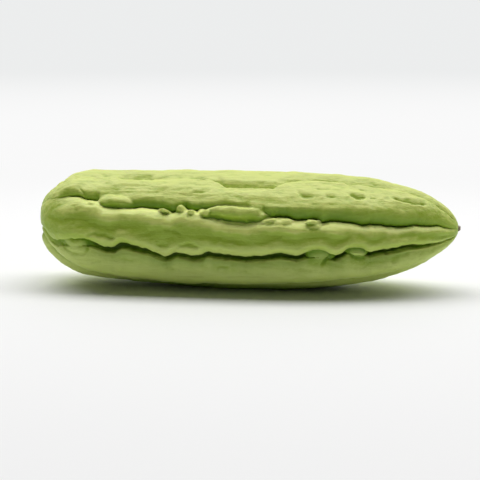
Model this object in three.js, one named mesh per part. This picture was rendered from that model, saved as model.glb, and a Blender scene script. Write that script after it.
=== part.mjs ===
// A bitter gourd lying on its side: the fruit, the cut stub of its stalk and the dry remains of its flower.
// Millimetres, +Z up, +X towards the flower end. The origin is on the floor, under the middle of the fruit.
import * as THREE from "three";

// Driving dimensions. Stations are places along X, counted from the middle of the length.
const LENGTH = 237; // from the stem end to the end of the dry nub
const GIRTH_RADIUS = 33.9; // from the axis to the rib crowns, at the widest station
const WIDEST_STATION = -10;
const SHOULDER_STATION = -86; // where the body starts to round over into the stem end
const SHOULDER_RADIUS = 31.3;
const POINT_STATION = 117.4; // where the tapering flank would reach the axis
const LOWEST_STATION = 11; // the fruit is slightly bowed, and its axis rises from here to both ends
const STEM_LIFT = 3.6;
const POINT_LIFT = 4.3;
const DROOP_STATION = 104; // from here to the end of the nub, the very tip bends down again
const POINT_DROOP = 1.4;
const FLAT_DEPTH = 0.6; // how far the two lowest ribs are pressed flat by lying on them
const GAP = 0.3; // between neighbouring pieces

const HOLLOW = { rimRadius: 12.7, throatRadius: 4.4, depth: 5.4 }; // at the stem end
const DIMPLE = { rimRadius: 2.9, radius: 2.1, depth: 1.3 }; // at the point, where the flower sat
const STUB = { radius: 3.5, length: 3.6, chamfer: 0.5 };
const NUB = { radius: 1.7, waist: 1.4 };

// The ten seams between the ribs: the angle at five stations in degrees, from level on the near side (-Y)
// up towards +Z, and the depth below the rib crowns.
const SEAM_STATIONS = [-95, -60, 0, 60, 100];
const SEAMS = [
  { angles: [-90, -90, -90, -90, -90], depth: 2.6 },
  { angles: [-54, -54, -50, -49, -56], depth: 2.8 },
  { angles: [-7, -10, -16, -10, -17], depth: 4.4 },
  { angles: [41, 28, 16, 17, 13], depth: 3.8 },
  { angles: [71, 67, 55, 66, 64], depth: 2.2 },
  { angles: [106, 104, 106, 103, 105], depth: 2.4 },
  { angles: [140, 138, 140, 137, 139], depth: 2.8 },
  { angles: [173, 171, 173, 170, 173], depth: 3.2 },
  { angles: [205, 203, 204, 206, 204], depth: 3.0 },
  { angles: [237, 235, 236, 234, 236], depth: 2.6 },
];

// Where the eight columns of vertices on each rib stand, from the seam at 0 to the next seam at 1.
const RIB_COLUMNS = [0, 0.09, 0.23, 0.37, 0.5, 0.63, 0.77, 0.91];
const RIB_ROUNDNESS = 2.5; // the exponent of the fall from a crown to its seams
const LOWEST_RIBS = [0, SEAMS.length - 1]; // the two on each side of the seam that faces down
const SWELLING = { height: 0.7, length: 46 }; // of the other ribs: how much their crowns rise and fall
const SEAM_WAVE = { degrees: 1.6, length: 38 }; // the seams wander a little from rib to rib
const RIBBED_RADIUS = 26; // the seams fade out where the fruit is slimmer than this
const BODY_STEPS = 26; // rings of vertices along the body
const SHOULDER_STEPS = 9; // rings round the stem end

const STEM_STATION = -LENGTH / 2;
const NUB_END_STATION = LENGTH / 2;
const DIMPLE_STATION = NUB_END_STATION - 1.6; // the rim round the nub

const skin = new THREE.MeshStandardMaterial({ color: 0x9db54c, roughness: 0.45, metalness: 0 });
const cutStalk = new THREE.MeshStandardMaterial({ color: 0x8f8a4a, roughness: 0.8, metalness: 0 });
const dryFlower = new THREE.MeshStandardMaterial({ color: 0x5b4a2c, roughness: 0.9, metalness: 0 });

const radians = THREE.MathUtils.degToRad;

// Radius over the rib crowns: a slow swelling from the shoulder, then a flank that curves in to the point.
function crownRadius(x) {
  if (x >= WIDEST_STATION) {
    const t = (x - WIDEST_STATION) / (POINT_STATION - WIDEST_STATION);
    return GIRTH_RADIUS * (1 - t ** 3.4) ** 0.73;
  }
  if (x >= SHOULDER_STATION) {
    const t = (WIDEST_STATION - x) / (WIDEST_STATION - SHOULDER_STATION);
    return GIRTH_RADIUS - (GIRTH_RADIUS - SHOULDER_RADIUS) * t ** 1.3;
  }
  const t = (SHOULDER_STATION - x) / (SHOULDER_STATION - STEM_STATION);
  return HOLLOW.rimRadius + (SHOULDER_RADIUS - HOLLOW.rimRadius) * (1 - t ** 2) ** 0.84;
}

// How far the bowed axis stands above its lowest station.
function axisLift(x) {
  const end = x < LOWEST_STATION ? STEM_STATION : NUB_END_STATION;
  const lift = x < LOWEST_STATION ? STEM_LIFT : POINT_LIFT;
  const bend = Math.max(0, x - DROOP_STATION) / (NUB_END_STATION - DROOP_STATION);
  return lift * ((x - LOWEST_STATION) / (end - LOWEST_STATION)) ** 2 - POINT_DROOP * bend ** 2;
}

// A wave along X that starts at another place on each rib or seam.
function wave(x, length, index) {
  const goldenAngle = Math.PI * (3 - Math.sqrt(5));
  return Math.sin((2 * Math.PI * x) / length + index * goldenAngle);
}

// A seam's angle at a station, on a smooth curve through its five given angles.
function straightAngle(seam, x) {
  const last = SEAM_STATIONS.length - 1;
  if (x <= SEAM_STATIONS[0]) return seam.angles[0];
  if (x >= SEAM_STATIONS[last]) return seam.angles[last];
  const i = SEAM_STATIONS.findIndex((station) => station > x) - 1;
  const t = (x - SEAM_STATIONS[i]) / (SEAM_STATIONS[i + 1] - SEAM_STATIONS[i]);
  return THREE.MathUtils.lerp(seam.angles[i], seam.angles[i + 1], THREE.MathUtils.smoothstep(t, 0, 1));
}

// The same with the small waves of a seam that does not face the floor.
function seamAngle(index, x) {
  const wander = index === 0 ? 0 : SEAM_WAVE.degrees * wave(x, SEAM_WAVE.length, index);
  return straightAngle(SEAMS[index], x) + wander;
}

// The fruit's outline from the floor of the stem hollow to the bottom of the dimple, as radius and station.
function fruitOutline() {
  const hollowFloor = STEM_STATION + HOLLOW.depth;
  const outline = [
    new THREE.Vector2(0, hollowFloor),
    new THREE.Vector2(HOLLOW.throatRadius, hollowFloor),
    new THREE.Vector2((2 * HOLLOW.throatRadius + HOLLOW.rimRadius) / 3, STEM_STATION + HOLLOW.depth * 0.5),
    new THREE.Vector2((HOLLOW.throatRadius + 2 * HOLLOW.rimRadius) / 3, STEM_STATION + HOLLOW.depth * 0.12),
  ];
  for (let i = 0; i <= SHOULDER_STEPS; i++) {
    const turn = (Math.PI / 2) * (i / SHOULDER_STEPS);
    const x = SHOULDER_STATION + (STEM_STATION - SHOULDER_STATION) * Math.cos(turn);
    outline.push(new THREE.Vector2(crownRadius(x), x));
  }
  for (let i = 1; i <= BODY_STEPS; i++) {
    const share = Math.sin((Math.PI / 2) * (i / BODY_STEPS)) * 0.4 + (i / BODY_STEPS) * 0.6;
    const x = THREE.MathUtils.lerp(SHOULDER_STATION, DIMPLE_STATION, share);
    outline.push(new THREE.Vector2(Math.max(crownRadius(x), DIMPLE.rimRadius), x));
  }
  outline.push(
    new THREE.Vector2(DIMPLE.radius, DIMPLE_STATION - 0.2),
    new THREE.Vector2(DIMPLE.radius, DIMPLE_STATION - DIMPLE.depth),
    new THREE.Vector2(0, DIMPLE_STATION - DIMPLE.depth),
  );
  return outline;
}

// Unit vector that points out of the outline at one of its points.
function outlineNormal(outline, j) {
  const before = outline[Math.max(j - 1, 0)];
  const after = outline[Math.min(j + 1, outline.length - 1)];
  return new THREE.Vector2(after.y - before.y, before.x - after.x).normalize();
}

// The lathed outline, pressed in along the ten seams, bowed, and set down on its two lowest ribs.
function makeFruit() {
  const outline = fruitOutline();
  const columns = SEAMS.length * RIB_COLUMNS.length;
  const geometry = new THREE.LatheGeometry(outline, columns);
  const position = geometry.getAttribute("position");
  for (let i = 0; i <= columns; i++) {
    const column = (columns - i) % columns; // the lathe goes round from +Z to -Y, the angles the other way
    const rib = Math.floor(column / RIB_COLUMNS.length);
    const share = RIB_COLUMNS[column % RIB_COLUMNS.length];
    const next = (rib + 1) % SEAMS.length;
    const wholeTurn = next === 0 ? 360 : 0;
    const depth = THREE.MathUtils.lerp(SEAMS[rib].depth, SEAMS[next].depth, share);
    const nearness = Math.abs(2 * share - 1) ** RIB_ROUNDNESS;
    const swelling = LOWEST_RIBS.includes(rib) ? 0 : SWELLING.height;
    for (let j = 0; j < outline.length; j++) {
      const { x: radius, y: station } = outline[j];
      const degrees = THREE.MathUtils.lerp(seamAngle(rib, station), seamAngle(next, station) + wholeTurn, share);
      const angle = radians(degrees);
      const ribbed = THREE.MathUtils.smoothstep(radius, HOLLOW.throatRadius, RIBBED_RADIUS);
      const normal = outlineNormal(outline, j);
      const dip = swelling * (0.5 - 0.5 * wave(station, SWELLING.length, rib)) * (1 - nearness);
      const drop = (depth * nearness + dip) * ribbed;
      const r = radius - normal.x * drop;
      const x = station - normal.y * drop;
      position.setXYZ(i * outline.length + j, x, -r * Math.cos(angle), r * Math.sin(angle) + axisLift(x));
    }
  }
  geometry.computeBoundingBox();
  const axisHeight = -geometry.boundingBox.min.z - FLAT_DEPTH;
  geometry.translate(0, 0, axisHeight);
  for (let k = 0; k < position.count; k++) position.setZ(k, Math.max(position.getZ(k), 0));
  geometry.computeVertexNormals();
  return { geometry, axisHeight };
}

// A small turned piece whose outline runs along X from its base at the origin.
function turned(points, sides) {
  const outline = points.map(([radius, station]) => new THREE.Vector2(radius, station));
  return new THREE.LatheGeometry(outline, sides).rotateZ(-Math.PI / 2);
}

function makeStub() {
  const { radius, length, chamfer } = STUB;
  const points = [[0, -length], [radius - chamfer, -length], [radius, chamfer - length], [radius * 1.06, 0], [0, 0]];
  return turned(points, 24);
}

function makeNub(length) {
  const { radius, waist } = NUB;
  const points = [[0, 0], [waist, 0], [radius, length * 0.3], [waist, length * 0.75], [waist / 2, length], [0, length]];
  return turned(points, 16);
}

function piece(name, geometry, material) {
  const mesh = new THREE.Mesh(geometry, material);
  mesh.name = name;
  return mesh;
}

const fruit = makeFruit();
const gourd = piece("gourd", fruit.geometry, skin);

const stub = piece("stalk_stub", makeStub(), cutStalk);
const stubBase = STEM_STATION + HOLLOW.depth - GAP;
stub.position.set(stubBase, 0, fruit.axisHeight + axisLift(stubBase));

const nubBase = DIMPLE_STATION - DIMPLE.depth + GAP;
const nub = piece("blossom_nub", makeNub(NUB_END_STATION - nubBase), dryFlower);
nub.position.set(nubBase, 0, fruit.axisHeight + axisLift(nubBase));

// The fruit and its two small pieces, moved sideways so that the origin is under the middle of them.
const pieces = new THREE.Group().add(gourd, stub, nub);
const middle = new THREE.Box3().setFromObject(pieces, true).getCenter(new THREE.Vector3());
pieces.position.set(-middle.x, -middle.y, 0);

export default new THREE.Group().add(pieces);
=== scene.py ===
"""A bitter gourd that lies on a pale table: its wrinkled skin, the stub of its stalk and its dry flower.

Properties are in metres and the modelling is in millimetres. Stations are places along X from the fruit's
middle, and angles go round it in degrees, from level on the near side (-Y) up towards +Z.
"""
import math
import random

import bmesh
import bpy
import numpy as np
from mathutils import Matrix, Vector, noise


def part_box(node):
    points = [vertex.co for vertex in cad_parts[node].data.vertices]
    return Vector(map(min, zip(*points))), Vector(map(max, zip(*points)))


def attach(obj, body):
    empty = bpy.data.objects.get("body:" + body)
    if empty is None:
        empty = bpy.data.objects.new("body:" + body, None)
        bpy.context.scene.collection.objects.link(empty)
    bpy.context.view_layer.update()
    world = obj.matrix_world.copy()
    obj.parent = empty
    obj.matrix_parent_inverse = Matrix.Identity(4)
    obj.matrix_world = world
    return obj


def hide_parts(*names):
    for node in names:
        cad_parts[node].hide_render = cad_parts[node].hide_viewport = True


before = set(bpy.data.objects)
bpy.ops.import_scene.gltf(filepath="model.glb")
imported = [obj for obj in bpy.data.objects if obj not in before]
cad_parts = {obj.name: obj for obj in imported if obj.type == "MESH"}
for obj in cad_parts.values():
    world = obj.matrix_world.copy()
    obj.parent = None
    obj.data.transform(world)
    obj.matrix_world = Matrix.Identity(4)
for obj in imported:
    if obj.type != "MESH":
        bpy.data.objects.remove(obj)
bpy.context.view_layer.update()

bl_info = {
    "name": "Bitter Gourd",
    "version": (1, 0, 0),
    "blender": (4, 5, 0),
    "location": "3D View > Sidebar > Gourd",
    "description": "Models the skin, stalk stub and dry flower of a bitter gourd, and lights them",
    "category": "Add Mesh",
}

MM = 0.001
STEM_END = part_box("gourd")[0][0] / MM
POINT_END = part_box("gourd")[1][0] / MM
NUB_BOX = [Vector(corner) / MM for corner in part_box("blossom_nub")]
STUB_BOX = [Vector(corner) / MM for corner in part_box("stalk_stub")]
NUB_MIDDLE = (NUB_BOX[0] + NUB_BOX[1]) / 2
STUB_MIDDLE = (STUB_BOX[0] + STUB_BOX[1]) / 2

# ---- the fruit's plain outline

WIDEST_X = -10.0
SHOULDER_X = -86.0
SHOULDER_RADIUS = 31.2
LOWEST_X = 11.0  # of the bowed axis, which rises from here to both ends
STEM_LIFT = 3.6
POINT_LIFT = 4.3
DROOP_X = 104.0  # from here on, the very tip bends down again
POINT_DROOP = 1.4
PIECE_GAP = 0.3  # between the fruit and the stub or nub that sits in it
HOLLOW_RIM = 12.7  # radius
HOLLOW_THROAT = 4.4
HOLLOW_DEPTH = STUB_BOX[1].x + PIECE_GAP - STEM_END
DIMPLE_RIM = 2.9
DIMPLE_THROAT = 2.1
DIMPLE_LIP = 0.2
DIMPLE_DEPTH = POINT_END + PIECE_GAP - NUB_BOX[0].x
FLANK_REACH = POINT_END + 0.5  # where the tapering flank would meet the axis
CAP_POWER = 0.72  # the lower, the blunter the stem end
BACK_POWER = 1.3
FLANK_POWERS = (3.0, 0.57)
OUTLINE_POINTS = {"bowl": 24, "cap": 60, "back": 60, "front": 160}
COLUMNS_ON_RIB = (24, 32, 32, 42, 26, 18, 16, 16, 16, 18)  # more on the ribs that show most detail
COLUMNS = sum(COLUMNS_ON_RIB)
RINGS = 412
SEAM_CROWDING = 0.5  # how much closer the columns stand near the seams
FULL_RADIUS = 25.0  # where the fruit is slimmer, its seams and lumps narrow with it

# ---- the ten seams between the ribs

# Each seam has its route, its depth below the crowns, the width and form of the ribs' edges above and below
# it, and how far the upper rib hangs over it. Some have more: a shelf (the lower edge's width as it changes
# along the fruit); a cleft under the upper rib (its width, how far it undercuts the lower rib for each
# millimetre of depth, its depths); a fall of the crowns beside it; a waist of the rib above (its depth, and
# place and reach as shares of the rib's width); a setback of that rib. Lists hold (station, value).
SEAMS = (
    {
        "route": ((-126, -90), (117, -90)),
        "depth": ((-126, 0.8), (-96, 1.2), (-80, 2.4), (117, 2.4)),
        "above": (6, "round"),
        "below": (6, "round"),
        "overhang": 0,
    },
    {
        "route": (
            (-126, -20), (-119, -29), (-115.5, -39), (-110.5, -43), (-104.5, -45), (-97, -46), (-89, -50),
            (-82, -56), (-72, -60), (-60, -62), (-48, -64), (-26, -62), (-10, -58), (4, -55), (30, -54.5),
            (42, -53), (52, -51), (63, -53), (78, -56), (92, -58), (104, -62), (117, -66),
        ),
        "depth": ((-126, 2), (-112, 3.4), (-96, 4.4), (-60, 5.2), (60, 5.2), (90, 4), (117, 2.4)),
        "above": (2.6, "round"),
        "below": (7, 1.2),
        "overhang": 1.6,
        "cleft": (2.6, 0.6, ((-110, 0), (-70, 1.8), (60, 1.8), (90, 0.6))),
        "waist": (-1.6, 0.24, 0.24),
    },
    {
        "route": (
            (-126, 0), (-119, -3), (-116, -11), (-112, -15), (-108.5, -15.5), (-105, -11), (-98, -7),
            (-90, -6), (-86, -7.5), (-79, -14), (-73, -13.5), (-69, -8), (-61, -10), (-55, -12.5),
            (-44, -22), (-38, -15), (-29, -18), (-24, -16.5), (-20, -12.5), (-13, -14), (0, -17.5),
            (9, -15.5), (18, -12), (29, -15), (34, -12), (38, -8.5), (44, -10.5), (50, -17.5), (53, -14.5),
            (57, -9), (63, -8.5), (69, -16), (76, -14), (82, -14.5), (89, -13), (97, -16.5), (103, -22),
            (108, -28), (112, -31), (117, -36),
        ),
        "depth": (
            (-126, 2.4), (-114, 3.2), (-104, 3.2), (-92, 4.2), (-84, 6), (30, 6.8), (66, 7), (117, 6.2),
        ),
        "above": (4, "round"),
        "below": (18, 1.2),
        "overhang": 1.6,
        "cleft": (
            5.6, 0.7,
            ((-120, 0), (-112, 0.8), (-104, 0.8), (-92, 1.6), (-84, 3.6), (30, 4.4), (66, 4.8), (117, 4.4)),
        ),
        "waist": (1.7, 0.42, 0.2),
        "fall": ((-126, 0.6), (117, 0.6)),
    },
    {
        "route": (
            (-126, 48), (-118, 46), (-110, 43), (-102, 45.5), (-95, 45), (-91, 41.5), (-83, 41.5),
            (-81.5, 38), (-79, 35), (-70, 33.5), (-63, 34.5), (-61.5, 32.5), (-57, 36), (-52, 34),
            (-46, 34), (-41, 29), (-38, 32), (-34, 36), (-30, 32.5), (-25, 33.5), (-21, 29.5), (-17, 26),
            (-10, 24), (0, 22), (6, 23.5), (11, 26.5), (22, 27), (28, 24), (33, 24.5), (39, 25), (43, 20.5),
            (48, 24), (55, 22), (62, 19.5), (67, 18), (74, 19.5), (82, 16), (89, 15.5), (95, 17),
            (107, 15.5), (112, 10), (117, 0),
        ),
        "depth": (
            (-126, 0.1), (-117, 0.2), (-108, 0.6), (-103, 3.2), (-94, 4), (-90, 4.2), (-84, 4.6),
            (-80, 5.2), (-40, 6.4), (0, 6), (24, 5.6), (117, 5.6),
        ),
        "above": (5.5, "round"),
        "below": (9, 1.5),
        "shelf": ((-126, 13), (-90, 13), (-78, 10), (117, 9)),
        "overhang": 0.4,
        "cleft": (1.2, 0, ((-82, 0), (-70, 0.6), (-20, 0.6), (4, 0.8), (12, 1.2), (117, 1.2))),
        "fall": ((-110, 0), (-84, 0.5), (-78, 1.5), (117, 1.5)),
        "setback": ((-126, 0), (-88, 0), (-76, 3.2), (-20, 3.2), (-8, 2.4), (24, 3.2), (117, 3.2)),
    },
    {
        "route": (
            (-126, 64), (-109, 69), (-95, 74), (-85, 76), (-71, 73.5), (-55, 74), (-45, 76), (-28, 74),
            (-17, 70), (-12, 61), (0, 60), (15, 60.5), (18, 67), (22, 72), (27, 75), (37, 77), (53, 78),
            (56, 73.5), (62, 76), (67, 74), (74, 74), (81, 75), (89, 72), (97, 70.5), (106, 60), (112, 58),
            (117, 50),
        ),
        "depth": (
            (-126, 0.3), (-117, 0.9), (-109, 2.2), (-103, 0.8), (-96, 0.2), (-90, 0), (-73, 0),
            (-70, 2), (-56, 2), (-53, 0), (-35, 0), (-32, 0.9), (-25, 0.8), (-21, 0), (-18, 1.2),
            (-13, 3), (15, 3), (18, 1.2), (24, 0.8), (53, 0.8), (58, 1.4), (70, 1.7), (84, 1.9),
            (100, 2.6), (107, 3), (113, 1.6),
        ),
        "above": (6, 1.2),
        "below": (1.6, 1.2),
        "overhang": 0.4,
        "fall": ((-126, 0.3), (117, 0.3)),
    },
)
FAR_SEAM_ANGLES = (105, 139, 172, 204, 236)
FAR_SEAM_STATIONS = (-126, 119, 7.0)  # first, last and the step between the turns of a seam that wanders
FAR_SEAM_WANDER = (-3.2, 3.2)
FAR_SEAM_DEPTH = (2.5, 6.0)
FAR_SEAM_EDGE = (5, 8)
FAR_SEAM_OVERHANG = 0.8

# What a seam has where its notes say nothing else.
NO_CLEFT = (1.2, 0.0, ((0, 0.0),))
NO_SETBACK = ((0, 0.0),)
NO_WAIST = (0.0, 0.5, 1.0)
CROWN_FALL = ((0, 1.5),)  # from a rib's crown to its edges, before the seams' own depth

CROWN_POWER = 2.4
CLEFT_POWER = 8.0
SETBACK_POWER = 1.2
SETBACK_REACH = 16.0
LIP_PLACE = 0.15  # where an overhanging lip reaches furthest, as a share of its edge's width
SHALLOWING = 0.7  # how fast the seams get shallower as the fruit gets slimmer
NARROWEST = 0.12  # the least that the seams narrow to
RIBBED_RADII = (2.4, 13.0)  # the seams fade in between these
WAIST_STATIONS = (-114, -94)  # and the waists between these
FLAT_SIDE = {"angle": 61, "reach": 27, "depth": 2.6, "stations": (-104, -84, 60, 104)}
SEAM_WOBBLE = ((4.2, 0.72), (1.7, 0.32))  # (length, height) of every seam's small wiggles
SLIM_RADIUS = 8.0  # a shift sideways turns the skin no further than it would at this radius
ROUTE_SOFTNESS = 1.4  # how far to each side the corners of a list are softened
DEPTH_SOFTNESS = 2.0
SHELF_SOFTNESS = 4.0
SOFTENING_TAPS = 7
TAP_REACH = 1.2  # where a tap would weigh nothing, as a share of the softness

# ---- listed lumps and dents

# Lumps in or beside the seams: station, angle, half length, half width, how far the top is below the crowns,
# how far the edges fall, and the turn.
LUMPS = (
    (-73, 41, 8.6, 4.4, 0.8, 2, -2),
    (-44, 28.5, 2.9, 1.4, 0.9, 2.4, -12),
    (-35.5, 30, 2.6, 2.6, 1, 3, -30),
    (-29.5, 27, 2.6, 1.7, 0.8, 2.6, 0),
    (-22, 27.5, 3.2, 2.4, 0.9, 2.6, -25),
    (-5, 28.3, 16, 4.6, 0, 3.4, -3),
    (13.5, 20.5, 5.2, 1.7, 1.6, 2.6, 0),
    (22.5, 20.5, 3.8, 1.6, 2, 2.2, 0),
    (37, 18.5, 3.8, 1.8, 1.6, 2.4, 14),
    (-97, -17, 8.8, 5.8, 2.2, 2.6, 0),
    (-77.5, -5.5, 4.4, 2.2, 1, 3.2, -6),
    (-44.5, -13.5, 3.4, 1.9, 1.2, 3.2, 0),
    (-31.5, -12.5, 6, 2.4, 1, 3.2, 0),
    (42, -20, 6.4, 5.4, 3.4, 2.6, -6),
    (62.6, -18, 5.4, 2.9, 2.2, 2.8, -6),
)

LUMP_SQUARENESS = 2.3
LUMP_POWER = 2.6
LUMP_BLEND = 0.5
FEATURE_MARGIN = 4.0  # a lump or dent changes nothing further out than this

# Dents and creases: points, depth, and how far the hollow reaches above and below its line.
DENTS = (
    (((-102, 46), (-95, 43.5)), 0.8, 3.2, 0.9),
    (((-91, 42), (-82, 41)), 1, 4, 0.9),
    (((-95, 51), (-91, 45), (-89, 41)), 0.8, 1.3, 1),
    (((-84, 76), (-78, 76)), 0.5, 2, 0.8),
    (((-90, 39), (-88, 32), (-84, 32), (-82, 36)), 0.8, 1.1, 1.1),
    (((-97, 30), (-94, 25), (-90, 26)), 0.45, 1.2, 1.1),
    (((-115, 16), (-105, 13), (-92, 15), (-86, 15)), 0.5, 1.6, 1.6),
    (((-53, 4), (-49, 6), (-46, 8), (-42, 8), (-38, 7), (-34, 4)), 0.75, 1.2, 1.3),
    (((-107, -18), (-103, -24), (-99, -26), (-95, -27), (-91, -25), (-89, -20), (-88, -13)), 0.55, 1.8, 1.4),
    (((-13.5, -8), (-13, -12)), 1.4, 1.6, 1.6),
    (((49, -17), (46.5, -22), (43.5, -26), (42, -28)), 1.5, 0.9, 1),
    (((57, -16), (60, -22), (64, -25.5), (68.5, -24), (71, -18)), 1.6, 0.9, 1.1),
    (((-88, -33), (-80, -34)), 0.4, 1.4, 1.2),
    (((-70, -29), (-64, -30), (-58, -29)), 0.45, 1.4, 1.2),
    (((-50, -33), (-42, -34)), 0.4, 1.4, 1.2),
    (((-5, -36), (4, -37)), 0.35, 1.4, 1.2),
    (((28, -33), (38, -34)), 0.4, 1.4, 1.2),
    (((60, -34), (72, -33)), 0.4, 1.4, 1.2),
    (((80, -32), (92, -30)), 0.4, 1.4, 1.2),
    (((-15, -32), (-12, -32.5), (-9, -32)), 1.2, 1.3, 1.1),
    (((21, -32), (24, -32)), 0.6, 1.3, 1.1),
    (((-118, -32), (-114, -40), (-106, -41), (-94, -41)), 0.7, 1.5, 1.2),
    (((-76, -41), (-70, -42)), 0.6, 1.2, 1),
    (((-46, -37), (-38, -38), (-27, -40)), 0.35, 1.2, 1),
    (((10, -38), (22, -39), (30, -37)), 0.3, 1.4, 1.1),
    (((-35, 22), (-30, 21), (-22, 22), (-18, 20)), 0.9, 1.3, 1.2),
    (((-25, 28), (-22, 33), (-19, 34), (-12, 36), (-3, 34.5), (3, 36)), 1.6, 2.4, 2.4),
    (((10, 36), (11.5, 30)), 0.9, 1.6, 1.3),
    (((7, 16), (12, 15.5), (22, 16), (25, 17), (27, 18)), 1.1, 1.2, 1.2),
    (((34, 13), (37, 12), (40, 13), (42, 16), (46, 19)), 1.1, 1.1, 1.1),
    (((44.5, 14), (47.5, 14)), 0.8, 1.4, 1.4),
    (((-31, 51), (-26, 51), (-19, 53)), 0.45, 1.4, 1),
    (((28, 54), (30, 49.5), (33, 47.5), (37, 48)), 0.8, 3.4, 1.1),
    (((42, 48.5), (46, 48.5), (50, 48)), 0.8, 3.4, 1.1),
    (((56, 54), (59, 50), (61.5, 48), (64, 50), (65.5, 53)), 1.7, 4.4, 1.1),
    (((67, 51), (69, 49.5), (73, 50.5)), 0.6, 1.6, 0.9),
    (((74.5, 50.5), (78.5, 51)), 0.5, 1.6, 0.9),
    (((79.5, 55), (83, 51), (86, 48.5), (92, 51), (99, 52)), 1.5, 4.2, 1.1),
    (((38, 60), (44, 61), (49, 60)), 0.4, 1.6, 0.9),
    (((-120, 84), (-113, 82), (-107, 86), (-104, 94)), 5.6, 6, 4),
    (((-88, -1), (-82, 0), (-77, -0.5), (-72, -4)), 0.9, 1.3, 2),
    (((-48, -9), (-44.5, -7), (-41, -8.5)), 0.7, 1.2, 1.8),
    (((-37.5, -11), (-35, -7), (-31, -5), (-27, -6.5), (-24.5, -9)), 0.9, 1.2, 1.8),
    (((-66, 60), (-60, 61), (-52, 59)), 0.35, 1.6, 0.9),
    (((60, 64), (66, 62), (72, 63)), 0.4, 1.6, 0.9),
)
DENT_END = 3.0  # each dent fades in and out over this length
DENT_OVERRUN = 0.8  # and goes on this far past its end points

# The far side's ribs have lumps and dents of the same kinds, within these limits.
FAR_LUMPS = 34
FAR_LUMP = {
    "station": (-104, 88), "half_length": (2.5, 8), "off_seam": (-5, 5), "half_width": (1.6, 3.0),
    "level": (0.6, 2.0), "fall": (2.0, 3.0), "turn": (-12, 12),
}
FAR_DENTS = 40
FAR_DENT_START = ((-108, 95), (100, 262))  # station and angle
FAR_DENT_TURNS = (1, 4)
FAR_DENT_STEP = ((2.5, 5), (-2.5, 2.5))
FAR_DENT_SHAPE = ((0.3, 1.4), (1.2, 2.8), (1.0, 1.3))  # depth, reach above and reach below

UNDULATIONS = ((15.0, 6.5, 0.6), (6.0, 2.2, 0.27), (2.6, 1.25, 0.12))  # (length, width, height)
CALMING = 0.7  # the share that the undulations lose down in the seams
CALM_DEPTHS = (1.0, 5.0)  # between which they lose it
OUTLINE_WARP = ((7.0, 1.6), (2.6, 0.7))  # (length, shift) of what makes lumps and dents uneven
WARP_ROUND = 0.7  # the warp round the fruit, as a share of the warp along it
WARP_LANE = 5  # the first lane of noise that the warp uses
LANE_GAP = 7.31  # how far apart the lanes of noise lie: round the fruit and along it
LANE_STRIDE = 17.3
WANDER_LEVEL = 3.7
DEEPEST = 9.0  # the depth at which the crevice measure is full, where the seams' painted shade is darkest
RIDGE_HEIGHT = 0.7  # how far the palest places stand out from the skin round them; ridges are painted paler as highlight and hollows darker as shade, partly the skin's own colour
RIDGE_EVENING = 12  # times that the skin is evened out to find its ridges
FACING_EVENING = 3


def smoothstep(low, high, value):
    t = np.clip((value - low) / (high - low), 0, 1)
    return t * t * (3.0 - 2.0 * t)


def smooth_max(a, b, blend):
    overlap = np.maximum(blend - np.abs(a - b), 0.0) / blend
    return np.maximum(a, b) + overlap * overlap * blend / 4.0


def edge_fall(distance, width, form):
    """1 in the seam, 0 where the rib's edge begins: a quarter of a circle, or a shelf by its power."""
    rest = 1.0 - np.clip(distance / width, 0, 1)
    if form == "round":
        return 1.0 - np.sqrt(np.maximum(1.0 - rest * rest, 0.0))
    return rest**form


def cleft_fall(distance, width):
    """A trough that is deep nearly all over, with a steep far wall."""
    return 1.0 - np.clip(distance / width, 0, 1) ** CLEFT_POWER


def wander(values, length, lane):
    """A smooth wiggle of about -1 to 1 along some values, with a lane of its own."""
    y, z = lane * LANE_GAP, WANDER_LEVEL
    return np.array([noise.noise(Vector((value / length, y, z))) for value in values])


def plain_outline(girth):
    """Even rings from the stem's hollow to the nub's dimple: radius, X, and the normal's part in each."""
    bottom = STEM_END + HOLLOW_DEPTH
    bowl = np.linspace(0.0, 1.0, OUTLINE_POINTS["bowl"])
    bowl_radius = HOLLOW_THROAT + (HOLLOW_RIM - HOLLOW_THROAT) * bowl
    bowl_x = bottom - HOLLOW_DEPTH * np.sin(bowl * math.pi / 2)
    turn = np.linspace(0.0, math.pi / 2, OUTLINE_POINTS["cap"])[1:]
    cap_x = SHOULDER_X + (STEM_END - SHOULDER_X) * np.cos(turn)
    share = (SHOULDER_X - cap_x) / (SHOULDER_X - STEM_END)
    cap_radius = HOLLOW_RIM + (SHOULDER_RADIUS - HOLLOW_RIM) * (1 - share**2) ** CAP_POWER
    back_x = np.linspace(SHOULDER_X, WIDEST_X, OUTLINE_POINTS["back"])[1:]
    share = (WIDEST_X - back_x) / (WIDEST_X - SHOULDER_X)
    back_radius = girth - (girth - SHOULDER_RADIUS) * share**BACK_POWER
    share = np.sin(np.linspace(0.0, math.pi / 2, OUTLINE_POINTS["front"])[1:])
    front_x = WIDEST_X + (POINT_END - WIDEST_X) * share
    reach = (front_x - WIDEST_X) / (FLANK_REACH - WIDEST_X)
    front_radius = np.maximum(girth * (1 - reach ** FLANK_POWERS[0]) ** FLANK_POWERS[1], DIMPLE_RIM)
    dimple_radius = (DIMPLE_THROAT, DIMPLE_THROAT, 0.0)
    dimple_x = (POINT_END - DIMPLE_LIP, POINT_END - DIMPLE_DEPTH, POINT_END - DIMPLE_DEPTH)
    radius = np.concatenate([(0.0,), bowl_radius, cap_radius, back_radius, front_radius, dimple_radius])
    place = np.concatenate([(bottom,), bowl_x, cap_x, back_x, front_x, dimple_x])
    length = np.concatenate([(0.0,), np.cumsum(np.hypot(np.diff(radius), np.diff(place)))])
    rings = np.linspace(0.0, length[-1], RINGS + 1)
    radius = np.interp(rings, length, radius)
    place = np.interp(rings, length, place)
    out_radius, out_x = np.gradient(place), -np.gradient(radius)
    size = np.hypot(out_radius, out_x)
    return radius, place, out_radius / size, out_x / size


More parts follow.
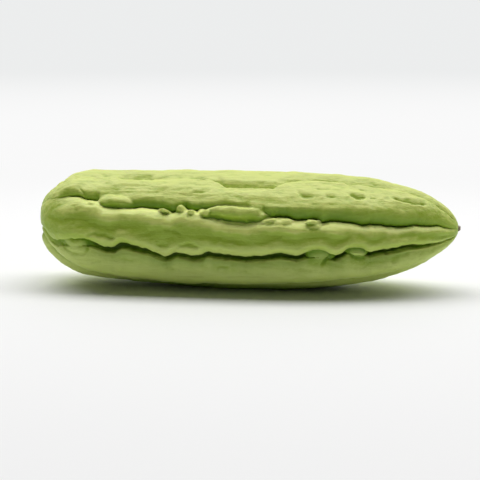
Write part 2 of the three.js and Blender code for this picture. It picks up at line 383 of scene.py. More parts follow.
def station_labels(radius, place):
    """X along the body, and round the stem end the length of the way on from the shoulder."""
    step = np.hypot(np.gradient(radius), np.gradient(place))
    first = next(i for i in range(len(place)) if place[i] >= SHOULDER_X and radius[i] > HOLLOW_RIM)
    labels = place.copy()
    labels[:first] = SHOULDER_X - np.cumsum(step[:first][::-1])[::-1]
    return labels


def far_seams(chance):
    """Notes for the seams of the far side, which wander as the ones in front do."""
    seams = []
    for angle in FAR_SEAM_ANGLES:
        stations = np.arange(*FAR_SEAM_STATIONS)
        seams.append({
            "route": [(s, angle + chance.uniform(*FAR_SEAM_WANDER)) for s in stations],
            "depth": [(s, chance.uniform(*FAR_SEAM_DEPTH)) for s in stations[::3]],
            "above": (chance.uniform(*FAR_SEAM_EDGE), "round"),
            "below": (chance.uniform(*FAR_SEAM_EDGE), "round"),
            "overhang": FAR_SEAM_OVERHANG,
        })
    return seams


def far_features(chance):
    """Lumps and dents for the ribs of the far side."""
    lumps, dents = [], []
    for _ in range(FAR_LUMPS):
        seam = chance.choice(FAR_SEAM_ANGLES)
        drawn = {name: chance.uniform(*limits) for name, limits in FAR_LUMP.items()}
        angle = seam + drawn.pop("off_seam")
        lumps.append((drawn.pop("station"), angle, *drawn.values()))
    for _ in range(FAR_DENTS):
        points = [tuple(chance.uniform(*limits) for limits in FAR_DENT_START)]
        for _ in range(chance.randint(*FAR_DENT_TURNS)):
            steps = [chance.uniform(*limits) for limits in FAR_DENT_STEP]
            points.append((points[-1][0] + steps[0], points[-1][1] + steps[1]))
        dents.append((points, *(chance.uniform(*limits) for limits in FAR_DENT_SHAPE)))
    return lumps, dents


def follow(points, stations, softness):
    """A value along the fruit through given points, with its corners softened."""
    places, values = zip(*points)
    taps = np.linspace(-softness, softness, SOFTENING_TAPS)
    weights = 1.0 - np.abs(taps) / (softness * TAP_REACH)
    total = sum(w * np.interp(stations + t, places, values) for t, w in zip(taps, weights))
    return total / weights.sum()


class Seam:
    """One seam at every station: its route, its depth and the shapes of the ribs' edges beside it."""

    def __init__(self, notes, stations, radius, lane):
        self.angle = follow(notes["route"], stations, ROUTE_SOFTNESS)
        if lane > 0:  # the seam that the fruit lies on stays straight
            wobble = sum(height * wander(stations, length, lane) for length, height in SEAM_WOBBLE)
            self.angle = self.angle + np.degrees(wobble / np.maximum(radius, SLIM_RADIUS))
        self.depth = follow(notes["depth"], stations, DEPTH_SOFTNESS)
        self.overhang = notes["overhang"]
        self.above_width, self.above_form = notes["above"]
        width, self.below_form = notes["below"]
        self.below_width = follow(notes.get("shelf", ((0, width),)), stations, SHELF_SOFTNESS)
        self.setback = follow(notes.get("setback", NO_SETBACK), stations, SHELF_SOFTNESS)
        self.cleft_width, self.undercut, depths = notes.get("cleft", NO_CLEFT)
        self.cleft_depth = follow(depths, stations, DEPTH_SOFTNESS)
        self.fall = follow(notes.get("fall", CROWN_FALL), stations, DEPTH_SOFTNESS)
        self.waist = notes.get("waist", NO_WAIST)


def rib_foot(seam, away, narrow):
    """How far the edge of the rib above a seam drops and hangs over, at a distance from the seam."""
    lip = away / (seam.above_width * narrow * LIP_PLACE)
    hanging = seam.overhang * narrow * lip * np.exp(1.0 - lip)
    drop = seam.setback * (1.0 - np.clip(away / SETBACK_REACH, 0, 1)) ** SETBACK_POWER
    drop = drop + (seam.depth - seam.setback) * edge_fall(away, seam.above_width * narrow, seam.above_form)
    return drop, hanging


def rib_head(seam, away, narrow):
    """How far the edge of the rib below a seam drops, and how deep the cleft is, at such a distance."""
    drop = seam.depth * edge_fall(away, seam.below_width * narrow, seam.below_form)
    return drop, seam.cleft_depth * cleft_fall(away, seam.cleft_width * narrow)


def rib_relief(stations, radius, seams):
    """Angles of the columns on every ring, and the height of the skin there against the crowns."""
    narrow = np.clip(radius / FULL_RADIUS, NARROWEST, 1.0)
    ribbed = smoothstep(*RIBBED_RADII, radius)
    shallow = ribbed * narrow**SHALLOWING
    waisted = smoothstep(*WAIST_STATIONS, stations)
    angles, relief = [], []
    for rib, count in enumerate(COLUMNS_ON_RIB):
        under, over = seams[rib], seams[(rib + 1) % len(seams)]
        whole_turn = 360.0 if over is seams[0] else 0.0
        height = over.angle + whole_turn - under.angle
        amount, middle, reach = under.waist
        for step in range(count):
            share = step / count
            share = share - SEAM_CROWDING * math.sin(2 * math.pi * share) / (2 * math.pi)
            foot, hanging = rib_foot(under, np.radians(height * share) * radius, narrow)
            head, dug = rib_head(over, np.radians(height * (1.0 - share)) * radius, narrow)
            crown = (under if share < 0.5 else over).fall * abs(2 * share - 1) ** CROWN_POWER
            waist = amount * math.exp(-(((share - middle) / reach) ** 2)) * waisted
            moved = hanging * ribbed + dug * over.undercut * shallow
            angles.append(under.angle + height * share - np.degrees(moved / np.maximum(radius, 1.0)))
            relief.append(-(foot + head + crown + waist + dug) * shallow)
    return np.stack(angles, axis=1), np.stack(relief, axis=1)


def rings_between(stations, low, high):
    """The rings of the grid whose stations lie between two values."""
    middles = stations.mean(axis=1)
    rings = np.where((middles > low) & (middles < high))[0]
    return slice(rings[0], rings[-1] + 1) if len(rings) else slice(0)


def raise_lumps(relief, stations, angles, radius, lumps):
    """Let each lump stand up out of the skin round it, with a soft join."""
    for station, angle, half_length, half_width, level, fall, turn in lumps:
        reach = half_length + half_width + FEATURE_MARGIN
        part = rings_between(stations, station - reach, station + reach)
        dx = stations[part] - station
        dy = np.radians(angles[part] - angle) * radius[part, None]
        c, s = math.cos(math.radians(turn)), math.sin(math.radians(turn))
        u = np.abs(dx * c + dy * s) / half_length
        v = np.abs(dy * c - dx * s) / half_width
        out = (u**LUMP_SQUARENESS + v**LUMP_SQUARENESS) ** (1 / LUMP_SQUARENESS)
        relief[part] = smooth_max(relief[part], -level - fall * out**LUMP_POWER, LUMP_BLEND)


def line_distance(stations, angles, points, radius):
    """How far each place is from a line, on which side and how far along it, with the line's length."""
    scale = np.radians(radius)
    best = np.full(stations.shape, np.inf)
    side = np.zeros(stations.shape)
    along = np.zeros(stations.shape)
    walked = 0.0
    for (s0, a0), (s1, a1) in zip(points, points[1:]):
        run, rise = s1 - s0, (a1 - a0) * scale
        dx, dy = stations - s0, (angles - a0) * scale
        length = np.hypot(run, rise)
        t = np.clip((dx * run + dy * rise) / length**2, 0, 1)
        away = np.hypot(dx - t * run, dy - t * rise)
        nearer = away < best
        best = np.where(nearer, away, best)
        side = np.where(nearer, np.sign(run * dy - rise * dx), side)
        along = np.where(nearer, walked + t * length, along)
        walked = walked + length
    return best, side, along, walked


def press_dents(relief, stations, angles, radius, dents):
    """Sink each dent into the skin: a slope above its line, and a rounder floor below it."""
    for points, depth, above, below in dents:
        ends = [station for station, angle in points]
        part = rings_between(stations, min(ends) - FEATURE_MARGIN, max(ends) + FEATURE_MARGIN)
        away, side, along, walked = line_distance(stations[part], angles[part], points, radius[part, None])
        t = np.clip(away / np.where(side > 0, above, below), 0, 1)
        hollow = np.where(side > 0, (1 - t) ** 1.5, (1 - t * t) ** 2)
        begun = smoothstep(0.0, DENT_END, along + DENT_OVERRUN)
        unfinished = smoothstep(0.0, DENT_END, walked - along + DENT_OVERRUN)
        relief[part] -= depth * hollow * begun * unfinished


def flat_side(stations, angles):
    """How far the flat side above the third seam lies inside the round of the fruit."""
    start, full, fade, end = FLAT_SIDE["stations"]
    across = np.clip(np.abs(angles - FLAT_SIDE["angle"]) / FLAT_SIDE["reach"], 0, 1)
    along = smoothstep(start, full, stations) * (1.0 - smoothstep(fade, end, stations))
    return FLAT_SIDE["depth"] * (1.0 - across**2) * along


def axis_rise(place):
    """How far the bowed axis stands above its lowest station."""
    toward_stem = STEM_LIFT * ((place - LOWEST_X) / (STEM_END - LOWEST_X)) ** 2
    toward_point = POINT_LIFT * ((place - LOWEST_X) / (NUB_BOX[1].x - LOWEST_X)) ** 2
    bend = np.maximum(place - DROOP_X, 0.0) / (NUB_BOX[1].x - DROOP_X)
    return np.where(place < LOWEST_X, toward_stem, toward_point) - POINT_DROOP * bend**2


def axis_height(place):
    """The axis's height above the table, through the middle of the nub."""
    return NUB_MIDDLE.z + axis_rise(place) - axis_rise(NUB_MIDDLE.x)


def skin_noise(stations, angles, radius, length, width, lane):
    """Noise over the skin, with patches of about such a length and width in millimetres."""
    turned = np.radians(angles)
    across = radius[:, None] / width
    points = zip(
        (stations / length + LANE_STRIDE * lane).ravel(),
        (across * np.cos(turned)).ravel(),
        (across * np.sin(turned)).ravel(),
    )
    return np.array([noise.noise(Vector(point)) for point in points]).reshape(stations.shape)


def skin_relief(stations, radius, seed):
    """All that the skin does on top of the plain outline, on a grid of rings and columns."""
    chance = random.Random(seed)
    notes = list(SEAMS) + far_seams(chance)
    lumps, dents = far_features(chance)
    seams = [Seam(seam, stations, radius, lane) for lane, seam in enumerate(notes)]
    angles, relief = rib_relief(stations, radius, seams)
    grid_stations = np.repeat(stations[:, None], COLUMNS, axis=1)
    narrow = np.clip(radius / FULL_RADIUS, 0, 1)[:, None]
    calm = 1.0 - CALMING * smoothstep(*CALM_DEPTHS, -relief)
    for lane, (length, width, height) in enumerate(UNDULATIONS):
        relief += height * calm * narrow * skin_noise(grid_stations, angles, radius, length, width, lane)
    bent_stations, bent_angles = grid_stations.copy(), angles.copy()
    for warp, (length, shift) in enumerate(OUTLINE_WARP):
        lane = WARP_LANE + 2 * warp
        bent_stations += shift * skin_noise(grid_stations, angles, radius, length, length, lane)
        sideways = shift * WARP_ROUND * skin_noise(grid_stations, angles, radius, length, length, lane + 1)
        bent_angles += np.degrees(sideways / np.maximum(radius, SLIM_RADIUS)[:, None])
    raise_lumps(relief, bent_stations, bent_angles, radius, list(LUMPS) + lumps)
    press_dents(relief, bent_stations, bent_angles, radius, list(DENTS) + dents)
    return angles, relief


def evened_out(values, times):
    """Values on the grid, each replaced by the mean with its neighbours a number of times."""
    for _ in range(times):
        values = (values + np.roll(values, 1, axis=1) + np.roll(values, -1, axis=1)) / 3
        values[1:-1] = (values[:-2] + values[1:-1] + values[2:]) / 3
    return values


def facing_up(places):
    """How far the skin faces up, from -1 to 1, evened out over a few millimetres."""
    across = np.roll(places, -1, axis=1) - np.roll(places, 1, axis=1)
    normal = np.cross(np.gradient(places, axis=0), across)
    upward = normal[..., 2] / np.maximum(np.linalg.norm(normal, axis=-1), 1e-9)
    return evened_out(upward, FACING_EVENING)


def gourd_grid(girth, flat_depth, seed):
    """Places of the grid's vertices in millimetres, and what the skin's colour and its painted light and
    shade follow: how deep each lies below the crowns, how far it stands out from the skin round it, and how
    far it faces up."""
    radius, place, out_radius, out_x = plain_outline(girth)
    stations = station_labels(radius, place)
    angles, relief = skin_relief(stations, radius, seed)
    inward = flat_side(stations[:, None], angles) - relief
    r = np.maximum(radius[:, None] - out_radius[:, None] * inward, 0.0)
    x = place[:, None] - out_x[:, None] * inward
    turned = np.radians(angles)
    axis = axis_height(x)
    y = -r * np.cos(turned)
    z = axis + r * np.sin(turned)
    lower_half = smoothstep(0.0, 1.0, (axis - z) / girth)
    z = z + lower_half * (-flat_depth - z.min())
    places = np.stack([x, y, np.maximum(z, 0.0)], -1)
    looks = {
        "crevice": np.clip(-relief / DEEPEST, 0, 1),
        "ridge": np.clip((relief - evened_out(relief, RIDGE_EVENING)) / RIDGE_HEIGHT, -1.0, 1.0),
        "upward": facing_up(places),
    }
    return places, looks


def grid_places(vertices):
    """The ring and column of each vertex of a unit UV sphere."""
    co = np.array([v.co[:] for v in vertices])
    ring = np.rint(np.arccos(np.clip(co[:, 2], -1, 1)) / math.pi * RINGS).astype(int)
    turn = np.arctan2(co[:, 1], co[:, 0]) / (2 * math.pi)
    column = np.rint(turn * COLUMNS).astype(int) % COLUMNS
    column[(ring == 0) | (ring == RINGS)] = 0
    return ring, column


def unroll(mesh, ring, column):
    """A UV map with the fruit's length up and its girth across."""
    loops = np.empty(len(mesh.loops), dtype=np.int64)
    mesh.loops.foreach_get("vertex_index", loops)
    u = column[loops] / COLUMNS
    v = ring[loops] / RINGS
    starts = np.empty(len(mesh.polygons), dtype=np.int64)
    mesh.polygons.foreach_get("loop_start", starts)
    face = np.repeat(np.arange(len(starts)), np.diff(np.append(starts, len(loops))))
    pole = (ring[loops] == 0) | (ring[loops] == RINGS)
    highest = np.full(len(starts), -1.0)
    np.maximum.at(highest, face[~pole], u[~pole])
    wraps = highest[face] - u > 0.5
    u = np.where(wraps, u + 1.0, u)
    u = np.where(pole, highest[face] - 0.5 / COLUMNS, u)
    layer = mesh.uv_layers.new(name="OFBake")
    layer.data.foreach_set("uv", np.stack([np.clip(u, 0, 1), v], -1).astype(np.float32).ravel())


def new_object(name, data):
    made = bpy.data.objects.new(name, data)
    bpy.context.scene.collection.objects.link(made)
    return made


def mesh_object(bm, name, material):
    """Uses up the bmesh."""
    mesh = bpy.data.meshes.new(name)
    bm.to_mesh(mesh)
    bm.free()
    mesh.materials.append(material)
    return new_object(name, mesh)


def finish_piece(bm, name, material):
    """A smooth piece with its faces outwards, which rides on the fruit's only body."""
    bmesh.ops.recalc_face_normals(bm, faces=bm.faces)
    piece = mesh_object(bm, name, material)
    piece.data.polygons.foreach_set("use_smooth", [True] * len(piece.data.polygons))
    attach(piece, "root")
    return piece


# ---- shader maths


class Socket:
    """An output of a node, on which Python's operators add Math nodes."""

    def __init__(self, recipe, output):
        self.recipe = recipe
        self.output = output

    def __add__(self, other):
        return self.recipe.maths("ADD", self, other)

    def __radd__(self, other):
        return self.recipe.maths("ADD", other, self)

    def __sub__(self, other):
        return self.recipe.maths("SUBTRACT", self, other)

    def __rsub__(self, other):
        return self.recipe.maths("SUBTRACT", other, self)

    def __mul__(self, other):
        return self.recipe.maths("MULTIPLY", self, other)

    def __or__(self, other):
        return self.recipe.maths("MAXIMUM", self, other)

    def ramp(self, low, high):
        """0 below low, 1 above high and a smooth rise between them."""
        inputs = {"Value": self, "From Min": low, "From Max": high}
        return self.recipe.add("ShaderNodeMapRange", {"interpolation_type": "SMOOTHSTEP"}, inputs)


class Recipe:
    """The node tree of a material or a world, filled by one call for each node."""

    def __init__(self, owner):
        self.owner = owner
        owner.use_nodes = True
        self.tree = owner.node_tree
        self.tree.nodes.clear()

    def add(self, kind, settings=None, inputs=None, output=0):
        node = self.tree.nodes.new(kind)
        for name, value in (settings or {}).items():
            setattr(node, name, value)
        for name, value in (inputs or {}).items():
            if isinstance(value, Socket):
                self.tree.links.new(value.output, node.inputs[name])
            else:
                node.inputs[name].default_value = value
        return Socket(self, node.outputs[output]) if node.outputs else None

    def maths(self, operation, *values):
        return self.add("ShaderNodeMath", {"operation": operation}, dict(enumerate(values)))

    def place(self, scale=(1.0, 1.0, 1.0), shift=(0.0, 0.0, 0.0)):
        """Object coordinates in millimetres, stretched and moved for one pattern."""
        coordinates = self.add("ShaderNodeTexCoord", output="Object")
        size = tuple(1000.0 * s for s in scale)
        return self.add("ShaderNodeMapping", {}, {"Vector": coordinates, "Scale": size, "Location": shift})

    def noise(self, lengths, detail=2.0, roughness=0.5, shift=(0.0, 0.0, 0.0)):
        """Noise whose patches are about so many millimetres along X, Y and Z."""
        at = self.place(tuple(1.0 / length for length in lengths), shift)
        inputs = {"Vector": at, "Scale": 1.0, "Detail": detail, "Roughness": roughness}
        return self.add("ShaderNodeTexNoise", {}, inputs)

    def attribute(self, name):
        return self.add("ShaderNodeAttribute", {"attribute_name": name}, output="Fac")

    def mix(self, factor, first, second):
        """A mix of two colours, which are the Mix node's inputs 6 and 7, as its output 2."""
        first, second = (c if isinstance(c, Socket) else (*c, 1.0) for c in (first, second))
        return self.add("ShaderNodeMix", {"data_type": "RGBA"}, {0: factor, 6: first, 7: second}, output=2)

    def bump(self, height, distance):
        return self.add("ShaderNodeBump", {}, {"Height": height, "Distance": distance})

    def finish(self, shader, kind="ShaderNodeOutputMaterial"):
        self.add(kind, {}, {"Surface": shader})
        return self.owner


WRINKLE_HEIGHT = 0.0005
FIBRE_HEIGHT = 0.0003


def skin_material(colours):
    """Waxy yellow-green skin, faintly streaked, with painted light and shade: paler where it faces up and on
    ridges (painted top light and highlight, partly the skin's own paler ridges), pale shoulders beside the
    seams (painted light), paler lower skin facing the table (painted bounce light), and greener and darker
    below, in hollows, in the seams and next to the table (painted shade, partly the skin's own greener
    grooves).
    """
    recipe = Recipe(bpy.data.materials.new("skin_waxy_green"))
    crevice = recipe.attribute("crevice")
    ridge = recipe.attribute("ridge")
    upward = recipe.attribute("upward")
    height = recipe.add("ShaderNodeSeparateXYZ", {}, {0: recipe.place()}, output="Z")
    patches = recipe.noise((26, 11, 11))
    mottling = recipe.noise((8, 3, 3), detail=3, roughness=0.6, shift=(3, 5, 7))
    streaks = recipe.noise((22, 1.7, 1.7), detail=3, roughness=0.6)
    grain = recipe.noise((1.6, 0.9, 0.9), shift=(5, 9, 2))

    # Masks, each of which lays its colour over the ones before it.
    on_top = upward.ramp(-0.2, 0.8)
    freckles = (mottling - 0.5) * (on_top * 1.9 + 0.2)
    uneven = ridge * 0.6 + (patches - 0.5) * 0.4 + freckles + (grain - 0.5) * 0.3
    # painted top light: the skin turns from the flank colour to the crown colour where it faces up, and on
    # ridges as painted highlight (partly the skin's own paler ridges); patches, freckles and grain are the
    # skin's own mottling
    pale = (upward + uneven).ramp(-0.1, 1.0)
    # painted shade in the small hollows of the upper skin, in the streak colour; partly the skin's own
    # greener grooves
    hollow = (ridge * -1.0).ramp(0.1, 0.8) * on_top
    # painted light: a near-white pale colour on a rib's upper side where it runs up from a seam, making up
    # for the light that the rib above keeps off
    shoulder = crevice.ramp(0.12, 0.4) * upward.ramp(0.2, 0.6) * height.ramp(28.0, 36.0)
    # painted bounce light: lower skin that faces down towards the table turns a paler colour, as if lit by
    # the table
    bounce_lit_underneath = (uneven * 0.4 - upward).ramp(-0.3, 0.3) * (1.0 - height.ramp(24.0, 36.0))
    # painted shade: deep in the seams, where the rib above hangs over and the skin doesn't face up, the skin
    # takes the dark crevice colour; partly the greener skin of the grooves
    overhung_shade = crevice.ramp(0.15, 0.6) * (1.0 - upward.ramp(0.15, 0.75))
    # painted contact shadow: the lowest few millimetres, next to the table, take much of the crevice colour
    table_contact_shade = 1.0 - height.ramp(2.0, 5.5)
    layers = (
        (hollow * 0.9, colours.streak_and_hollow_shade),
        (shoulder, colours.shoulder),
        (bounce_lit_underneath, colours.underside_bounce_light),
        (streaks.ramp(0.5, 0.78) * 0.3, colours.streak_and_hollow_shade),
        (overhung_shade | table_contact_shade * 0.75, colours.crevice),
        # painted shade: the deepest seams turn near black
        (crevice.ramp(0.72, 1.02), colours.depths),
    )
    colour = recipe.mix(pale, colours.flank, colours.crown)
    for mask, layer in layers:
        colour = recipe.mix(mask, colour, layer)

    wrinkles = streaks * 0.6 + grain * 0.35 + mottling * 0.8
    shader = recipe.add("ShaderNodeBsdfPrincipled", {}, {
        "Base Color": colour,
        "Roughness": 0.38 + patches * 0.12 + crevice * 0.15,
        "Normal": recipe.bump(wrinkles, WRINKLE_HEIGHT),
        "Subsurface Weight": 0.12,
        "Subsurface Radius": (0.6, 1.0, 0.2),
        "Subsurface Scale": 0.0025,
        "Specular IOR Level": 0.45,
    })
    return recipe.finish(shader)


def rough_shader(recipe, colour, roughness, fibres):
    """A dull surface that is rougher and higher where its fibres are."""
    return recipe.add("ShaderNodeBsdfPrincipled", {}, {
        "Base Color": colour,
        "Roughness": roughness + fibres * 0.2,
        "Normal": recipe.bump(fibres, FIBRE_HEIGHT),
    })


def cut_stalk_material(colours):
    """Pale green wood with darker fibres along it and browned patches."""
    recipe = Recipe(bpy.data.materials.new("stalk_cut_fibres"))
    fibres = recipe.noise((3.0, 0.35, 0.35), detail=3)
    browning = recipe.noise((1.4, 1.4, 1.4), shift=(4, 4, 4))
    colour = recipe.mix(fibres.ramp(0.35, 0.7), colours.stalk, colours.stalk_dark)
    colour = recipe.mix(browning.ramp(0.5, 0.7) * 0.6, colour, colours.dry)
    return recipe.finish(rough_shader(recipe, colour, 0.7, fibres))


def dry_flower_material(colours):
    """Shrivelled brown remains of the flower."""
    recipe = Recipe(bpy.data.materials.new("flower_dried_brown"))
    crumbs = recipe.noise((0.9, 0.5, 0.5), detail=3)
    colour = recipe.mix(crumbs.ramp(0.35, 0.7), colours.dry, colours.dry_pale)
    return recipe.finish(rough_shader(recipe, colour, 0.75, crumbs))


# ---- the three pieces


def make_gourd(girth, flat_depth, seed, colours):
    """The fruit's skin: a sphere's vertices, each moved to its place on the gourd."""
    bm = bmesh.new()
    bmesh.ops.create_uvsphere(bm, u_segments=COLUMNS, v_segments=RINGS, radius=1.0)
    ring, column = grid_places(bm.verts)
    places, looks = gourd_grid(girth, flat_depth, seed)
    for vert, r, c in zip(bm.verts, ring, column):
        vert.co = places[r, c] * MM
    piece = finish_piece(bm, "gourd_skin", skin_material(colours))
    unroll(piece.data, ring, column)
    for name, values in looks.items():
        attribute = piece.data.attributes.new(name, "FLOAT", "POINT")
        attribute.data.foreach_set("value", values[ring, column].astype(np.float32))
    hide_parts("gourd")


BLANK_INSETS = (0.25, 0.3, 0.35)  # of the rings on a blank's two ends, as shares of its radius


def turned_blank(radius, length, middle, sides, steps):
    """A round rod along X, cut into steps, with its middle at a point, in millimetres."""
    bm = bmesh.new()
    bmesh.ops.create_cone(
        bm, cap_ends=True, cap_tris=False, segments=sides, radius1=radius, radius2=radius, depth=length
    )
    lengthwise = [e for e in bm.edges if abs(e.verts[0].co.z - e.verts[1].co.z) > length / 2]
    bmesh.ops.subdivide_edges(bm, edges=lengthwise, cuts=steps, use_grid_fill=True)
    caps = [f for f in bm.faces if abs(f.normal.z) > 0.9]
    for inset in BLANK_INSETS:
        caps = [f for f in caps if len(f.verts) == sides]
        bmesh.ops.inset_region(bm, faces=caps, thickness=radius * inset, use_even_offset=True)
    laid_along_x = Matrix.Translation(middle) @ Matrix.Rotation(math.pi / 2, 4, "Y")
    bmesh.ops.transform(bm, matrix=laid_along_x, verts=bm.verts)
    return bm


STUB_SIDES = 40
STUB_STEPS = 6
STUB_FULLNESS = 0.96  # its radius as a share of its room
STUB_RIDGES = 5
STUB_RIDGE = 0.035  # as the taper, a share of the radius
STUB_TAPER = 0.05
STUB_CUT = 0.4  # of the length: the cut lies further out from the middle
STUB_PITH = 0.45  # how far the pith is sunk
STUB_RAGGED = 0.22
STUB_CHAMFER = (0.8, 0.25)  # where the cut begins to fall back, and how steeply


def make_stalk_stub(colours):
    """The stub in the hollow, with blunt ridges, a sunken pith and a ragged cut."""
    size = STUB_BOX[1] - STUB_BOX[0]
    bm = turned_blank(size.y / 2 * STUB_FULLNESS, size.x, STUB_MIDDLE, STUB_SIDES, STUB_STEPS)
    for vert in bm.verts:
        away = Vector((0, vert.co.y - STUB_MIDDLE.y, vert.co.z - STUB_MIDDLE.z))
        turn = math.atan2(away.z, away.y)
        rim = away.length / (size.y / 2)
        outward = max(0, (STUB_MIDDLE.x - vert.co.x) / size.x)
        ridge = 1 + STUB_RIDGE * math.cos(STUB_RIDGES * turn) - STUB_TAPER * outward
        vert.co.y = STUB_MIDDLE.y + away.y * ridge
        vert.co.z = STUB_MIDDLE.z + away.z * ridge
        if vert.co.x < STUB_MIDDLE.x - size.x * STUB_CUT:
            ragged = noise.noise(Vector((away.y, away.z, 0.4)) * 0.9)
            chamfer = STUB_CHAMFER[1] * max(0, rim - STUB_CHAMFER[0])
            vert.co.x += STUB_PITH * (1 - rim) ** 2 + STUB_RAGGED * ragged + chamfer
    bmesh.ops.scale(bm, vec=(MM, MM, MM), verts=bm.verts)
    piece = finish_piece(bm, "stalk_stub_cut", cut_stalk_material(colours))
    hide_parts("stalk_stub")


NUB_SIDES = 28
NUB_STEPS = 8
NUB_NECK = 0.78  # of its full radius
NUB_BELLY = 0.2
NUB_BELLY_END = 0.8  # as a share of its length
NUB_FOLDS = 7
NUB_FOLD = 0.09
NUB_CREASING = 0.1
NUB_TIP = 0.75  # from here on it narrows to its frayed end
NUB_FRAY = 0.95


def make_blossom_nub(colours):
    """The dry flower: a shrivelled little knob with folds along it and a frayed end."""
    size = NUB_BOX[1] - NUB_BOX[0]
    bm = turned_blank(size.y / 2, size.x, NUB_MIDDLE, NUB_SIDES, NUB_STEPS)
    for vert in bm.verts:
        along = (vert.co.x - NUB_BOX[0].x) / size.x
        away = Vector((0, vert.co.y - NUB_MIDDLE.y, vert.co.z - NUB_MIDDLE.z))
        turn = math.atan2(away.z, away.y)
        belly = NUB_BELLY * math.sin(math.pi * min(1.0, along / NUB_BELLY_END))
        width = NUB_NECK + belly - max(0.0, along - NUB_TIP)
        fold = 1 + NUB_FOLD * math.cos(NUB_FOLDS * turn + 2 * along)
        fold += NUB_CREASING * noise.noise(vert.co * 0.8)
        vert.co.y = NUB_MIDDLE.y + away.y * width * fold
        vert.co.z = NUB_MIDDLE.z + away.z * width * fold
        if along > NUB_FRAY:
            vert.co.x -= 0.5 * (0.5 + noise.noise(away * 1.4 + Vector((7, 0, 0))))
    bmesh.ops.scale(bm, vec=(MM, MM, MM), verts=bm.verts)
    piece = finish_piece(bm, "blossom_nub_dry", dry_flower_material(colours))
    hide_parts("blossom_nub")


# ---- stage

FLOOR_RADIUS = 30.0
TABLE_FADE = (220.0, 600.0)  # between these distances the table gives way to an even glow
GLOW_FADE = (1000.0, 3000.0)  # and between these the glow dims to the far background
WINDOW_HEIGHT = 40.0  # of the broad light behind, in degrees above the table
LAMP_SIZE = (2.8, 0.6)
LENS = 85.0
AIM_ALONG = -0.0055  # the camera aims here along X, and so far below the axis
AIM_BELOW = 0.00606


def make_floor(stage):
    """A pale table that runs out into an even, bright background."""
    recipe = Recipe(bpy.data.materials.new("table_pale"))
    at = recipe.place()
    distance = recipe.add("ShaderNodeVectorMath", {"operation": "LENGTH"}, {0: at}, output="Value")
    seen = recipe.add("ShaderNodeLightPath", output="Is Camera Ray")
    colour = recipe.mix(seen, stage.table_bounce, stage.table)
    surface = recipe.add("ShaderNodeBsdfDiffuse", {}, {"Color": colour})
    far = distance.ramp(*GLOW_FADE)
    glow_colour = recipe.mix(far, stage.near_background, stage.far_background)
    glow = recipe.add("ShaderNodeEmission", {}, {"Color": glow_colour, "Strength": 1.0})
    amount = distance.ramp(*TABLE_FADE) * seen
    shader = recipe.add("ShaderNodeMixShader", {}, {0: amount, 1: surface, 2: glow})
    bm = bmesh.new()
    bmesh.ops.create_circle(bm, cap_ends=True, radius=FLOOR_RADIUS, segments=96)
    bmesh.ops.recalc_face_normals(bm, faces=bm.faces)
    mesh_object(bm, "table_top", recipe.finish(shader))


def make_world(stage):
    """Pale wherever the camera looks, with a broad, soft light high up behind the fruit."""
    world = bpy.data.worlds.new("studio_world")
    bpy.context.scene.world = world
    recipe = Recipe(world)
    seen = recipe.add("ShaderNodeLightPath", output="Is Camera Ray")
    mirrored = recipe.add("ShaderNodeLightPath", output="Is Glossy Ray")
    through = recipe.add("ShaderNodeLightPath", output="Is Transmission Ray")
    direction = recipe.add("ShaderNodeTexCoord", output="Generated")
    behind = recipe.add("ShaderNodeSeparateXYZ", {}, {0: direction}, output="Y").ramp(-0.3, 0.4)
    height = math.radians(WINDOW_HEIGHT)
    towards = {0: direction, 1: (0.0, math.cos(height), math.sin(height))}
    window = recipe.add("ShaderNodeVectorMath", {"operation": "DOT_PRODUCT"}, towards, output="Value")
    pale = stage.far_background
    lit = recipe.mix(behind, stage.front_light, stage.backdrop_light)
    lit = recipe.mix(window.ramp(0.45, 0.95), lit, stage.window_light)
    mirror = recipe.mix(behind, stage.front_light, pale)
    colour = recipe.mix(mirrored | through, lit, mirror)
    colour = recipe.mix(seen, colour, pale)
    background = recipe.add("ShaderNodeBackground", {}, {"Color": colour, "Strength": 1.0})
    recipe.finish(background, "ShaderNodeOutputWorld")


def make_lamp(stage):
    """A long softbox over the fruit, a little behind it and leaning towards it."""
    data = bpy.data.lights.new("softbox", "AREA")
    data.shape = "RECTANGLE"
    data.size, data.size_y = LAMP_SIZE
    data.energy = stage.lamp_power
    lamp = new_object("softbox", data)
    lamp.location = (0.0, stage.lamp_height * math.tan(stage.lamp_lean), stage.lamp_height)
    lamp.rotation_euler = (-stage.lamp_lean, 0.0, 0.0)


def make_camera(stage):
    """A camera that looks down a little, aimed beside the fruit's middle and below its axis."""
    data = bpy.data.cameras.new("camera")
    data.lens = LENS
    camera = new_object("camera", data)
    aim = Vector((AIM_ALONG, 0.0, float(axis_height(LOWEST_X)) * MM - AIM_BELOW))
    turn, rise = stage.azimuth, stage.elevation
    back = Vector((math.sin(turn) * math.cos(rise), -math.cos(turn) * math.cos(rise), math.sin(rise)))
    camera.location = aim + back * stage.distance
    camera.rotation_euler = (-back).to_track_quat("-Z", "Y").to_euler()
    bpy.context.scene.camera = camera


# ---- the add-on


def number_property(name, description, default, **kind):
    return bpy.props.FloatProperty(name=name, description=description, default=default, **kind)


def length_property(name, description, default):
    return number_property(name, description, default, unit="LENGTH", precision=5)


def angle_property(name, description, degrees):
    return number_property(name, description, math.radians(degrees), subtype="ANGLE")


def colour_property(name, description, default):
    return bpy.props.FloatVectorProperty(
        name=name, description=description, default=default, size=3, subtype="COLOR", min=0.0, max=1.0
    )


class GourdSizes(bpy.types.PropertyGroup):
    girth_radius: length_property("Girth radius", "From the axis to the crowns, at the widest place", 0.0339)
    flat_depth: length_property("Flat depth", "How far the table presses the lowest ribs flat", 0.0006)
    seed: bpy.props.IntProperty(name="Seed", description="Draws the lumps of the far side", default=7)


